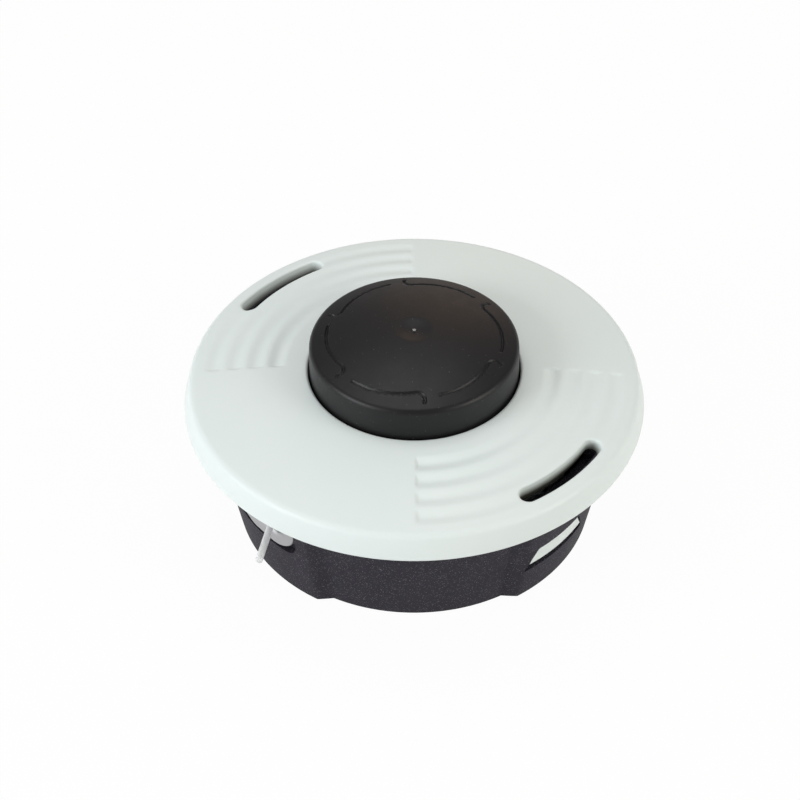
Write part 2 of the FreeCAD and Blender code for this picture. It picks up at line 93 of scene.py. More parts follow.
# %% Line ends
LINE_D = 2.0 * MM
LINE_ROUTE = np.array((
    (-31.8, 3.6, 27.0),
    (-34.0, -11.4, 27.0),
    (-36.3, -26.4, 27.0),
    (-38.8, -41.4, 27.0),
    (-41.3, -54.5, 27.0),
)) * MM
HALF_TURN = np.array((-1, -1, 1))


def line_end(name, route, node):
    """A round line whose axis is the quadratic spline of the route's points. They carry the radius."""
    curve = bpy.data.curves.new(name, "CURVE")
    curve.dimensions = "3D"
    curve.bevel_depth = 1.0
    curve.bevel_resolution = 5
    curve.use_fill_caps = True
    spline = curve.splines.new("NURBS")
    spline.points.add(len(route) - 1)
    spline.points.foreach_set("co", np.c_[route, np.ones(len(route))].ravel())
    spline.points.foreach_set("radius", np.full(len(route), LINE_D / 2))
    spline.use_endpoint_u = True
    spline.order_u = 3
    spline.resolution_u = 12
    piece = bpy.data.objects.new(name, curve)
    bpy.context.scene.collection.objects.link(piece)
    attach(piece, "housing")
    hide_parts(node)
    return piece


line_pieces = [
    line_end("cutting_line_left", LINE_ROUTE, "line_end_left"),
    line_end("cutting_line_right", LINE_ROUTE * HALF_TURN, "line_end_right"),
]
print("line ends:", [piece.name for piece in line_pieces])

# %% [markdown]
# ## From arrays to meshes
# Every moulded piece here is a grid of points: rows follow a profile, columns go round the axis.
# Whole arrays are worked out at once and handed to the mesh. Points that meet, at a seam or a
# pole, are merged, and then the faces are turned outwards.

# %% Mesh helpers
SMOOTH_ANGLE = math.radians(38)
WELD = 0.004 * MM


def grid_quads(rows, cols, ring=True, keep=None):
    """Four-cornered faces of a rows x cols grid. A ring joins the last column to the first."""
    j = np.arange(cols if ring else cols - 1)
    i = np.arange(rows - 1)
    i, j = np.meshgrid(i, j, indexing="ij")
    after = (j + 1) % cols
    here, above = i * cols, (i + 1) * cols
    quads = np.stack((here + j, here + after, above + after, above + j), axis=-1)
    return quads.reshape(-1, 4) if keep is None else quads[keep]


def ring_strip(*rows):
    """A patch of rows that each go once round."""
    points = np.stack(rows)
    return points, grid_quads(*points.shape[:2])


def add_piece(name, patches, body, replaced, bevel=0):
    """One object from patches of (points, quads), merged, closed and smooth-shaded."""
    points = np.concatenate([p.reshape(-1, 3) for p, q in patches])
    starts = np.cumsum([0] + [p.size // 3 for p, q in patches])
    quads = np.concatenate([q + start for (p, q), start in zip(patches, starts)])
    mesh = bpy.data.meshes.new(name)
    mesh.vertices.add(len(points))
    mesh.vertices.foreach_set("co", points.ravel())
    mesh.loops.add(quads.size)
    mesh.loops.foreach_set("vertex_index", quads.ravel())
    mesh.polygons.add(len(quads))
    mesh.polygons.foreach_set("loop_start", np.arange(0, quads.size, 4))
    mesh.update(calc_edges=True)
    return finish_mesh(name, mesh, body, replaced, bevel)


def finish_mesh(name, mesh, body, replaced, bevel=0):
    """Merge doubles, turn the faces outwards, shade smooth below the crease angle, and place the
    piece in the frame."""
    work = bmesh.new()
    work.from_mesh(mesh)
    bmesh.ops.remove_doubles(work, verts=work.verts, dist=WELD)
    bmesh.ops.dissolve_degenerate(work, edges=work.edges, dist=WELD / 10)
    bmesh.ops.recalc_face_normals(work, faces=work.faces)
    open_edges = sum(not edge.is_manifold for edge in work.edges)
    work.to_mesh(mesh)
    work.free()
    mesh.shade_smooth()
    mesh.set_sharp_from_angle(angle=SMOOTH_ANGLE)
    piece = bpy.data.objects.new(name, mesh)
    bpy.context.scene.collection.objects.link(piece)
    if bevel:
        edge = piece.modifiers.new("soft_edges", "BEVEL")
        edge.width = bevel
        edge.segments = 2
        edge.limit_method = "ANGLE"
        edge.angle_limit = SMOOTH_ANGLE
    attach(piece, body)
    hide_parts(replaced)
    print(name, "faces:", len(mesh.polygons), "open edges:", open_edges)
    return piece


def rounded_profile(corners, steps=5):
    """A profile from corners (r, z, round): each corner with a round becomes an arc that is tangent
    to its two sides."""
    corners = np.array(corners, float)
    spots, radii = corners[:, :2], corners[:, 2]
    out = [spots[:1]]
    for before, spot, after, radius in zip(spots, spots[1:], spots[2:], radii[1:]):
        a = (before - spot) / np.linalg.norm(before - spot)
        b = (after - spot) / np.linalg.norm(after - spot)
        half = math.acos(np.clip(a @ b, -1, 1)) / 2
        if radius == 0:
            out.append(spot[None])
            continue
        middle = (a + b) / np.linalg.norm(a + b)
        centre = spot + middle * radius / math.sin(half)
        sweep = np.linspace(-1, 1, steps + 1)[:, None] * (math.pi / 2 - half)
        across = (b - a) / np.linalg.norm(b - a)
        out.append(centre + radius * (np.sin(sweep) * across - np.cos(sweep) * middle))
    return np.concatenate(out + [spots[-1:]])


def around(r, angle, z):
    """Points at a radius, an angle round the axis and a height."""
    return np.stack(np.broadcast_arrays(r * np.cos(angle), r * np.sin(angle), z), axis=-1)


def turned(profile, angles):
    """Points of a profile of (r, z) carried round the axis through the angles."""
    return around(profile[:, :1], angles, profile[:, 1:2])


print("merge distance:", WELD)

# %% [markdown]
# ## The lid
# The lid is a white nylon moulding: a low crown, a rounded shoulder and a drafted skirt, with two
# arc slots and two sectors of soft wavy grooves. A lathe could turn the plain form, but the slots
# need holes and the waves start and stop. So the crown is a height over a polar grid whose columns
# bend round the slot ends, and a wall is carried round the rim of each slot.

# %% Lid sizes
LID_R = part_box("cover")[1].x
SKIRT_Z = 37.4 * MM
SHOULDER_R, SHOULDER_Z = LID_R - 2.0 * MM, SKIRT_Z + 7.4 * MM
RIM_Z = SHOULDER_Z - 2.4 * MM
LID_TOP = SHOULDER_Z + 3.1 * MM
LID_WALL, SHOULDER_ROUND = 2.2 * MM, 2.2 * MM
REGISTER_R, REGISTER_T, REGISTER_DEPTH = 53.1 * MM, 1.6 * MM, 2.8 * MM
HOLE_R, HOLE_ROUND = 29.75 * MM, 0.7 * MM
COLLAR_R, COLLAR_DEPTH = 32.45 * MM, 4.2 * MM
CROWN_BULGE = 0.45 * MM
SLOT_R, SLOT_HALF_W = SHOULDER_R - 6.5 * MM, 2.4 * MM
SLOT_LOW_R, SLOT_LOW_HALF_W = SLOT_R - 0.55 * MM, 1.85 * MM
SLOT_EDGE = 0.7 * MM
SLOT_HALF = math.radians(13.07)
SLOT_MID = np.radians((-45.0, 135.0))
WAVE_FIRST = HOLE_R + 8.95 * MM
WAVE_PITCH = (SLOT_R - WAVE_FIRST) / 3
WAVE_DEPTH = 0.55 * MM
WAVE_HALF = math.radians(45)
WAVE_END = math.radians(1.4)
PAST_WAVES = math.pi / 2


def crown_height(r, off):
    """Height of the crown: a line from the hole to the shoulder plus a parabolic bulge, less the waves.
    A wave is a raised cosine across the radius, and ends at 45 degrees from the middle of the slot."""
    share = (SHOULDER_R - r) / (SHOULDER_R - HOLE_R)
    plain = SHOULDER_Z + (LID_TOP - SHOULDER_Z) * share + 4 * CROWN_BULGE * share * (1 - share)
    count = (r - WAVE_FIRST) / WAVE_PITCH
    inside = (count > -0.5) & (count < 3.5)
    wave = inside * (0.5 + 0.5 * np.cos(2 * math.pi * count))
    end = np.clip((WAVE_HALF - np.abs(off)) / WAVE_END, 0, 1)
    middle = np.clip(np.abs(off) / WAVE_HALF, 0, 1)
    fade = (0.4 + 0.6 * middle) * end * end * (3 - 2 * end)
    return plain - WAVE_DEPTH * (1 - 0.08 * count) * wave * fade


print("waves at", [round((WAVE_FIRST + k * WAVE_PITCH) / MM, 1) for k in range(4)], "mm")

# %% Lid grid
SLOT_COLS, FLANK_COLS, END_COLS, PLAIN_COLS = 40, 22, 16, 22
BAND_ROWS = 16
END_FROM, END_TO = math.radians(42), math.radians(48)

flank = np.linspace(0, 1, FLANK_COLS + 1)[1:]
plain_part = np.r_[
    np.linspace(END_FROM, END_TO, END_COLS + 1)[1:],
    np.linspace(END_TO, math.pi / 2, PLAIN_COLS + 1)[1:],
]
slot_part = np.linspace(-SLOT_HALF, SLOT_HALF, SLOT_COLS + 1)
band_phi = np.linspace(-math.pi / 2, math.pi / 2, BAND_ROWS + 1)


def columns(swell):
    """Angles of one half turn of columns, measured from the slot's middle, where the slot's round end
    has swollen the open sector by an angle. The last column belongs to the next half turn."""
    start = SLOT_HALF + swell
    side = start + flank * (END_FROM - start)
    centre = slot_part * (start / SLOT_HALF)
    right = np.r_[side, plain_part]
    return np.r_[-right[::-1], centre, right[:-1]]


def band(middle, half_w):
    """Radii and angles of the rows that cross a slot, from its inner to its outer side."""
    r = middle + half_w * np.sin(band_phi)
    return r, half_w * np.cos(band_phi) / r


def lid_rows():
    """Rows of the lid's closed section: radius, height, swell of the slot's end, and whether the row
    lies on the crown. The rows of a band are marked by a swell of their own."""
    top_r, top_swell = band(SLOT_R, SLOT_HALF_W + SLOT_EDGE)
    low_r, low_swell = band(SLOT_LOW_R, SLOT_LOW_HALF_W)
    slope = (crown_height(SHOULDER_R, PAST_WAVES) - crown_height(SHOULDER_R - MM, PAST_WAVES)) / MM
    shoulder = rounded_profile((
        (SHOULDER_R - 4 * MM, SHOULDER_Z - 4 * MM * slope, 0),
        (SHOULDER_R, SHOULDER_Z, SHOULDER_ROUND),
        (LID_R, SKIRT_Z, 0.7 * MM),
        (LID_R - LID_WALL, SKIRT_Z, 0.5 * MM),
        (SHOULDER_R - LID_WALL, RIM_Z, 0.5 * MM),
        (low_r[-1] + 0.3 * MM, RIM_Z, 0),
    ))[1:]
    collar_low = LID_TOP - COLLAR_DEPTH
    register_in, register_low = REGISTER_R - REGISTER_T, RIM_Z - REGISTER_DEPTH
    under = rounded_profile((
        (low_r[0], RIM_Z, 0),
        (REGISTER_R, RIM_Z, 0),
        (REGISTER_R, register_low, 0.3 * MM),
        (register_in, register_low, 0.3 * MM),
        (register_in, RIM_Z + 0.2 * MM, 0),
        (COLLAR_R, LID_TOP - 3 * MM, 0),
        (COLLAR_R, collar_low, 0.3 * MM),
        (HOLE_R, collar_low, 0.3 * MM),
        (HOLE_R, LID_TOP, HOLE_ROUND),
        (HOLE_R + 2 * MM, crown_height(HOLE_R + 2 * MM, PAST_WAVES), 0),
    ))[1:-1]
    inner = np.linspace(under[-1, 0], top_r[0], 52)[1:-1]
    outer = np.linspace(top_r[-1], shoulder[0, 0], 7)[1:-1]
    crown_r = np.r_[inner, top_r, outer]
    swell = np.r_[0 * inner, top_swell, 0 * outer, 0 * shoulder[:, 0], low_swell[::-1], 0 * under[:, 0]]
    r = np.r_[crown_r, shoulder[:, 0], low_r[::-1], under[:, 0]]
    z = np.r_[0 * crown_r, shoulder[:, 1], 0 * low_r + RIM_Z, under[:, 1]]
    crown = np.arange(len(r)) < len(crown_r)
    top_start = len(inner)
    low_start = len(crown_r) + len(shoulder)
    open_rows = np.zeros(len(r), bool)
    open_rows[top_start:top_start + BAND_ROWS] = True
    open_rows[low_start:low_start + BAND_ROWS] = True
    return r, z, swell, crown, open_rows


row_r, row_z, row_swell, on_crown, row_open = lid_rows()
half = np.stack([columns(s) for s in row_swell])
off = np.c_[half, half]
theta = np.c_[half + SLOT_MID[0], half + SLOT_MID[1]]
height = np.where(on_crown[:, None], crown_height(row_r[:, None], off), row_z[:, None])
lid_points = around(row_r[:, None], theta, height)
lid_points = np.concatenate((lid_points, lid_points[:1]))
half_cols = half.shape[1]
col = np.arange(2 * half_cols) % half_cols
slot_start = FLANK_COLS + END_COLS + PLAIN_COLS
in_slot = (col >= slot_start) & (col < slot_start + SLOT_COLS)
lid_quads = grid_quads(len(lid_points), 2 * half_cols, keep=~(row_open[:, None] & in_slot))
print("lid grid:", lid_points.shape)

# %% Slot walls
def slot_path():
    """Once round a slot: inner arc, round end, outer arc, round end. Gives for each point its place
    across the slot (phi), its angle along it and the side to which the round end swells."""
    arc = slot_part[:-1]
    phi = np.r_[0 * arc - math.pi / 2, band_phi[:-1], 0 * arc + math.pi / 2, band_phi[:0:-1]]
    along = np.r_[arc, 0 * band_phi[1:] + SLOT_HALF, -arc, 0 * band_phi[1:] - SLOT_HALF]
    return phi, along, np.sign(along)


def slot_wall(mid):
    """A quarter round from the crown into the slot, then a drafted wall down to the underside. Its inner
    side is upright, and its outer side and its ends draw in."""
    phi, along, side = slot_path()
    a = np.linspace(0, math.pi / 2, 7)[:, None]
    offset = np.r_[SLOT_EDGE * (1 - np.sin(a)), np.zeros((4, 1))]
    drop = np.r_[SLOT_EDGE * (1 - np.cos(a)), np.full((4, 1), SLOT_EDGE)]
    down = np.r_[0 * a, np.linspace(0.25, 1, 4)[:, None]]
    half_w = SLOT_HALF_W + offset + (SLOT_LOW_HALF_W - SLOT_HALF_W) * down
    r = SLOT_R + (SLOT_LOW_R - SLOT_R) * down + half_w * np.sin(phi)
    angle = along + side * half_w * np.cos(phi) / r
    top = crown_height(r[0], angle[0]) - drop
    z = top + (RIM_Z - top) * down
    return around(r, angle + mid, z)


slot_walls = [slot_wall(mid) for mid in SLOT_MID]
print("slot wall points:", slot_walls[0].shape)

# %% Latch tabs and feed stops
TAB_R, TAB_T, TAB_LOW, TAB_HALF = 48.07 * MM, 2.6 * MM, 12.2 * MM, math.radians(12.6)
HOOK_R, HOOK_TOP, HOOK_SIDE = 54.07 * MM, 19.2 * MM, 0.4 * MM
STOP_IN, STOP_OUT, STOP_DEPTH, STOP_HALF = 34.8 * MM, 39.8 * MM, 1.85 * MM, math.radians(6)
STOP_COUNT = 6
LATCHES = (-42.5, 137.5)
WINDOW_Z, WINDOW_HALF_W, WINDOW_HALF_H, WINDOW_TAPER = 15.4 * MM, 10.65 * MM, 4.1 * MM, 0.183


def hook_half(z):
    """Half angle of a hook: the window's half width, which tapers upwards, less the gap beside it."""
    return (WINDOW_HALF_W * (1 - WINDOW_TAPER * (z - WINDOW_Z) / WINDOW_HALF_H) - HOOK_SIDE) / HOOK_R


def block(corners, mid, half_at, steps=10):
    """A convex section carried through an angle that may depend on the height. Both ends close at the
    section's middle."""
    section = rounded_profile(corners, 3)
    section = np.concatenate((section, section[:1]))
    middle = np.repeat(section[:-1].mean(axis=0)[None], len(section), axis=0)
    sweep = np.linspace(-1, 1, steps + 1)
    angles = mid + half_at(section[:, 1:]) * sweep
    ends = mid + half_at(middle[:, 1:]) * sweep
    rings = [turned(middle, ends[:, :1]), turned(section, angles), turned(middle, ends[:, -1:])]
    points = np.concatenate(rings, axis=1).transpose(1, 0, 2)
    return points, grid_quads(*points.shape[:2], ring=False)


def latch_tab(mid):
    edge = 0.3 * MM
    strip = (
        (TAB_R - 1.3 * MM, TAB_LOW, 0),
        (TAB_R, TAB_LOW, edge),
        (TAB_R, RIM_Z + MM, 0),
        (TAB_R - TAB_T, RIM_Z + MM, 0),
        (TAB_R - TAB_T, TAB_LOW, edge),
        (TAB_R - 1.4 * MM, TAB_LOW, 0),
    )
    hook = (
        (TAB_R - MM, HOOK_TOP - MM, 0),
        (TAB_R - MM, TAB_LOW + 0.3 * MM, 0),
        (TAB_R, TAB_LOW + 0.3 * MM, 0),
        (HOOK_R, TAB_LOW + 1.6 * MM, edge),
        (HOOK_R, HOOK_TOP, edge),
        (TAB_R - MM, HOOK_TOP, 0),
    )
    return [block(strip, mid, lambda z: TAB_HALF + 0 * z), block(hook, mid, hook_half)]


def feed_stop(mid):
    low, high = RIM_Z - STOP_DEPTH, RIM_Z + 3.0 * MM
    corners = ((STOP_IN, low, 0), (STOP_OUT, low, 0), (STOP_OUT, high, 0), (STOP_IN, high, 0))
    return block(corners, mid, lambda z: STOP_HALF + 0 * z)


tabs = [patch for mid in LATCHES for patch in latch_tab(math.radians(mid))]
stops = [feed_stop(2 * math.pi / STOP_COUNT * k) for k in range(STOP_COUNT)]
walls = [ring_strip(*wall) for wall in slot_walls]
lid = add_piece("lid", [(lid_points, lid_quads)] + walls + tabs + stops, "housing", "cover")

# %% [markdown]
# ## The knob
# The knob is a black nylon cap with a domed top. Six hooked lines are sunk into the dome and a
# shallow dish with a small nub marks the middle. The lines are narrow, so the grid is fine where
# they run, and each point sinks by its distance from the nearest line.

# %% Knob sizes
KNOB_R, KNOB_TOP_R = 29.4 * MM, 29.1 * MM
KNOB_EDGE_Z = LID_TOP + 8.9 * MM
KNOB_TOP_Z = KNOB_EDGE_Z + 4.8 * MM
DOME_R = (KNOB_TOP_R ** 2 + (KNOB_TOP_Z - KNOB_EDGE_Z) ** 2) / (2 * (KNOB_TOP_Z - KNOB_EDGE_Z))
KNOB_EDGE, KNOB_WALL = 1.8 * MM, 3.0 * MM
KNOB_DRAW, KNOB_DRAFT = 0.28 * MM, 0.02
KNOB_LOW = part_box("bump_knob")[0].z
FLANGE_R, FLANGE_T = 32.8 * MM, 2.0 * MM
DISH_R, DISH_DEPTH, NUB_R, NUB_H = 5.4 * MM, 0.7 * MM, 0.75 * MM, 0.53 * MM
LINE_HALF_W, LINE_DEPTH = 0.55 * MM, 0.5 * MM
SWIRLS = 6
SWIRL_R, SWIRL_DRAW, SWIRL_OUT = 0.84 * KNOB_TOP_R, 0.052 * KNOB_TOP_R, 3.1 * MM
SWIRL_START, SWIRL_TURN, SWIRL_END = 167, 211, 216
KNOB_COLS = 600


def arc_through(start, heading, end, count):
    """Points on the circle that leaves start along heading and passes through end, and the heading
    there."""
    chord = end - start
    side = chord - heading * (chord @ heading)
    side = side / np.linalg.norm(side)
    radius = chord @ chord / (2 * (chord @ side))
    sweep = 2 * math.atan2(chord @ side, chord @ heading)
    t = np.linspace(0, sweep, count)[:, None]
    points = start + radius * (np.sin(t) * heading + (1 - np.cos(t)) * side)
    return points, math.cos(sweep) * heading + math.sin(sweep) * side


def polar(r, deg):
    return r * np.array((math.cos(math.radians(deg)), math.sin(math.radians(deg))))


def swirl_line():
    """Plan of one hooked line: a long flat arc, then a short arc that turns outwards."""
    r_turn = SWIRL_R - SWIRL_DRAW
    start, heading = polar(SWIRL_R, SWIRL_START), polar(1, SWIRL_START + 90)
    sweep, heading = arc_through(start, heading, polar(r_turn, SWIRL_TURN), 70)
    hook, heading = arc_through(sweep[-1], heading, polar(r_turn + SWIRL_OUT, SWIRL_END), 14)
    return np.concatenate((sweep, hook[1:]))


def line_sink(x, y):
    """Depth of the hooked lines: a round-bottomed dip by the distance to the nearest of six lines."""
    plan = swirl_line()
    turn = 2 * math.pi / SWIRLS
    first = math.radians(160)
    angle = first + np.mod(np.arctan2(y, x) - first, turn)
    reach = np.hypot(x, y)
    near = np.full(x.shape, 1.0)
    for shift in (0, turn):
        px, py = reach * np.cos(angle + shift), reach * np.sin(angle + shift)
        for start in range(0, len(plan), 12):
            spots = plan[start:start + 12]
            gap = np.hypot(px[..., None] - spots[:, 0], py[..., None] - spots[:, 1]).min(axis=-1)
            near = np.minimum(near, gap)
    dip = np.clip(1 - (near / LINE_HALF_W) ** 2, 0, 1)
    return LINE_DEPTH * dip * dip * (3 - 2 * dip)


def dome(r):
    return KNOB_TOP_Z - DOME_R + np.sqrt(DOME_R ** 2 - r ** 2)


def dish(r):
    """The middle: a shallow dish, and a pointed nub in it."""
    bowl = DISH_DEPTH * np.clip(1 - (r / DISH_R) ** 2, 0, 1) ** 1.5
    nub = NUB_H * np.clip(1 - (r / NUB_R) ** 2, 0, 1)
    return nub - bowl


# %% Knob grid
DISH_TO, SWIRL_FROM, SWIRL_TO = 6 * MM, 19 * MM, 27 * MM

edge_r = KNOB_R - KNOB_DRAW - KNOB_EDGE
edge_z = KNOB_TOP_Z - DOME_R + math.sqrt((DOME_R - KNOB_EDGE) ** 2 - edge_r ** 2)
edge_from = math.atan2(edge_z - (KNOB_TOP_Z - DOME_R), edge_r)
top_limit = edge_r + KNOB_EDGE * math.cos(edge_from)
top_r = np.r_[
    NUB_R * np.sin(np.linspace(0, math.pi / 2, 8)),
    np.linspace(NUB_R, DISH_TO, 14)[1:],
    np.linspace(DISH_TO, SWIRL_FROM, 12)[1:],
    np.linspace(SWIRL_FROM, SWIRL_TO, 44)[1:],
    np.linspace(SWIRL_TO, top_limit, 4)[1:-1],
]
edge_a = np.linspace(edge_from, math.radians(1.2), 9)
skirt_z = np.linspace(edge_z, KNOB_LOW + FLANGE_T, 8)[1:]
inner_r = KNOB_R - KNOB_WALL
lower = rounded_profile((
    (KNOB_R, KNOB_LOW + FLANGE_T, 0),
    (FLANGE_R, KNOB_LOW + FLANGE_T, 0.3 * MM),
    (FLANGE_R, KNOB_LOW, 0.3 * MM),
    (inner_r, KNOB_LOW, 0),
    (inner_r, KNOB_EDGE_Z - 3.3 * MM, 1.0 * MM),
    (0, KNOB_TOP_Z - 3.1 * MM, 0),
), 3)[1:]
knob_r = np.r_[top_r, edge_r + KNOB_EDGE * np.cos(edge_a),
               KNOB_R - KNOB_DRAFT * (skirt_z - KNOB_LOW - FLANGE_T), lower[:, 0]]
knob_z = np.r_[dome(top_r), edge_z + KNOB_EDGE * np.sin(edge_a), skirt_z, lower[:, 1]]
knob_angles = np.linspace(0, 2 * math.pi, KNOB_COLS, endpoint=False)
knob_points = turned(np.c_[knob_r, knob_z], knob_angles)
domed = slice(0, len(top_r))
knob_points[domed, :, 2] += dish(top_r)[:, None]
knob_points[domed, :, 2] -= line_sink(knob_points[domed, :, 0], knob_points[domed, :, 1])
knob = add_piece("knob", [ring_strip(*knob_points)], "spool", "bump_knob")

# %% [markdown]
# ## The cup
# The cup flares upwards and has two wide lobes, with a shallow recess between them at the front
# and the back. Its wall is an outside and an inside skin on one grid of angles and heights. For
# each opening a box of faces is left out of both skins. A strip then runs from the box's edge on
# the outside to the rounded edge of the opening, through the wall, and back to the box inside.

# %% Cup sizes
FOOT_R, FLARE, WALL = 49.1 * MM, 7.2 / 42.4, 2.6 * MM
LOBE, LOBE_HALF, LOBE_SLOPE, LOBE_TURN = 2.6 * MM, 61.6, 4.3, 1.2
FLOOR_LOW, FLOOR_TOP, RECESS_R = 3.4 * MM, 5.8 * MM, 42.8 * MM
HUB_R, POST_R, POST_TOP = 17.0 * MM, 13.0 * MM, RIM_Z - 11.7 * MM
RIB_COUNT, RIB_HALF, RIB_LOW = 12, 1.1 * MM, 2.2 * MM
WELL_HALF, WELL_STEP, WELL_Z, WELL_LIP = 15.2, 0.001, RIM_Z - 4.4 * MM, 0.9 * MM
GUIDES = (-139.0, 41.0)
EYELET_Z = 27.0 * MM
BORE = np.array((8.4, 3.8, 3.42)) * MM
FLANGE = np.array((12.6, 9.4, 9.0)) * MM
SLEEVE = BORE + 1.4 * MM
POCKET = (FLANGE[0] + 0.6 * MM, FLANGE[1] + 0.6 * MM, 5.0 * MM)
PASSAGE = SLEEVE + 0.05 * MM
POCKET_DEPTH = 2.25 * MM
WINDOW = (WINDOW_HALF_W, WINDOW_HALF_H, 0.5 * MM)
WINDOW_BOX = (15.0, 10.3 * MM, 20.5 * MM)
POCKET_BOX = (15.5, EYELET_Z - 11 * MM, EYELET_Z + 11 * MM)
STEP_DEG, STEP_Z = 1.6, 4.5 * MM


def fill(marks, step):
    """All the marks in order, with even steps no wider than the given one between them."""
    marks = np.unique(np.round(marks, 9))
    counts = np.maximum(1, np.ceil(np.diff(marks) / step - 1e-6)).astype(int)
    parts = [np.linspace(a, b, n + 1)[:-1] for a, b, n in zip(marks, marks[1:], counts)]
    return np.r_[np.concatenate(parts), marks[-1]]


def both_sides(mids, *halves):
    """Angles on both sides of the middles, brought to between -180 and 180."""
    spread = np.add.outer(np.array(mids), np.r_[halves, np.negative(halves)]).ravel()
    return (spread + 180) % 360 - 180


well_mids = np.degrees(SLOT_MID)
cup_deg = fill(np.r_[
    -180, 180,
    both_sides((LOBE_TURN, LOBE_TURN + 180), LOBE_HALF, LOBE_HALF - LOBE_SLOPE),
    both_sides(LATCHES, WINDOW_BOX[0]),
    both_sides(GUIDES, POCKET_BOX[0]),
    both_sides(well_mids, WELL_HALF, WELL_HALF + WELL_STEP),
], STEP_DEG)[:-1]
cup_z = fill((0, FLOOR_TOP, *WINDOW_BOX[1:], *POCKET_BOX[1:], WELL_Z, RIM_Z), STEP_Z)
in_well = np.abs(cup_deg - well_mids[:, None]).min(axis=0) < WELL_HALF + WELL_STEP / 2
print("cup grid:", len(cup_z), "x", len(cup_deg))

# %% Cup wall
OUTSIDE, INSIDE, DEEP = (0, 1), (WALL, 0), (POCKET_DEPTH, 1)


def on_skin(deg, z, skin):
    """Points on a skin: a flared cone with sloping steps up to the lobes, less a depth."""
    depth, lobed = skin
    from_lobe = np.abs((deg - LOBE_TURN + 90) % 180 - 90)
    lobe = LOBE * np.clip((LOBE_HALF - from_lobe) / LOBE_SLOPE, 0, 1)
    r = FOOT_R + FLARE * z + lobed * lobe - depth
    return around(r, np.radians(deg), z)


def cell_box(mid, box):
    """First and last row and column of a box, found by the marks on the grid."""
    rows = [int(np.argmin(np.abs(cup_z - z))) for z in box[1:]]
    cols = [int(np.argmin(np.abs(cup_deg - mid - side * box[0]))) for side in (-1, 1)]
    return rows + cols


def box_loop(box):
    """Angle and height of the grid points once round a box."""
    low, high, left, right = box
    across, up = np.arange(left, right), np.arange(low, high)
    rows = np.r_[0 * across + low, up, 0 * across + high, up[::-1] + 1]
    cols = np.r_[across, 0 * up + right, across[::-1] + 1, 0 * up + left]
    return cup_deg[cols], cup_z[rows]


def drawn_in(loop, mid, middle_z, half_w, half_h, corner, taper=0):
    """Each point of a loop moved to the nearest point of a rectangle with round corners: the inner
    rectangle without its corners' radius, plus that radius towards the point. A taper narrows
    the top."""
    reach = FOOT_R + LOBE + FLARE * middle_z
    across, up = np.radians(loop[0] - mid) * reach, loop[1] - middle_z
    core_w, core_h = half_w - corner, half_h - corner
    core = np.clip(across, -core_w, core_w), np.clip(up, -core_h, core_h)
    stretch = corner / np.hypot(across - core[0], up - core[1])
    across, up = core[0] + stretch * (across - core[0]), core[1] + stretch * (up - core[1])
    return mid + np.degrees(across * (1 - taper * up / half_h) / reach), middle_z + up


def window_strip(mid):
    loop = box_loop(cell_box(mid, WINDOW_BOX))
    edge = drawn_in(loop, mid, WINDOW_Z, *WINDOW, WINDOW_TAPER)
    return ring_strip(on_skin(*loop, OUTSIDE), on_skin(*edge, OUTSIDE),
                      on_skin(*edge, INSIDE), on_skin(*loop, INSIDE))


def pocket_strip(mid):
    loop = box_loop(cell_box(mid, POCKET_BOX))
    edge = drawn_in(loop, mid, EYELET_Z, *POCKET)
    hole = drawn_in(loop, mid, EYELET_Z, *PASSAGE)
    return ring_strip(on_skin(*loop, OUTSIDE), on_skin(*edge, OUTSIDE), on_skin(*edge, DEEP),
                      on_skin(*hole, DEEP), on_skin(*hole, INSIDE), on_skin(*loop, INSIDE))


def flat_circle(r, z):
    return around(r, np.radians(cup_deg), z)


def well_row(row, z):
    """A row of the inside skin, with a step out to the well under each slot. The wall's lip stays."""
    well = on_skin(cup_deg, WELL_Z, (WELL_LIP, 1))
    well[:, 2] = z
    return np.where(in_well[:, None], well, row)


def cup_wall():
    """Both skins, the strips of the openings, the rim with a well under each slot, and the foot."""
    outside = on_skin(cup_deg, cup_z[:, None], OUTSIDE)
    inside = on_skin(cup_deg, cup_z[:, None], INSIDE)
    well = np.stack((inside[-2], well_row(inside[-2], WELL_Z), well_row(inside[-1], RIM_Z)))
    solid = np.ones((len(cup_z) - 1, len(cup_deg)), bool)
    boxes = [cell_box(mid, WINDOW_BOX) for mid in LATCHES]
    boxes += [cell_box(mid, POCKET_BOX) for mid in GUIDES]
    for low, high, left, right in boxes:
        solid[low:high, left:right] = False
    floor_row = int(np.argmin(np.abs(cup_z - FLOOR_TOP)))
    patches = [
        (outside, grid_quads(*outside.shape[:2], keep=solid)),
        (inside[floor_row:-1], grid_quads(*inside[floor_row:-1].shape[:2], keep=solid[floor_row:-1])),
        ring_strip(*well, outside[-1]),
        ring_strip(outside[0], flat_circle(RECESS_R, 0),
                   flat_circle(RECESS_R, FLOOR_TOP), inside[floor_row]),
    ]
    return patches + [window_strip(mid) for mid in LATCHES] + [pocket_strip(mid) for mid in GUIDES]


# %% Cup floor
NUT_HALF, NUT_HEAD, NUT_LENGTH, SHANK_R = 8.5 * MM, 6.0 * MM, 19.0 * MM, 7.0 * MM
NUT_FIT, SHAFT_R = 0.05 * MM, 5.32 * MM


def hexagon(angle):
    """Radius of the nut's hexagon, with a corner at angle zero."""
    return NUT_HALF / np.cos(np.mod(angle, math.pi / 3) - math.pi / 6)


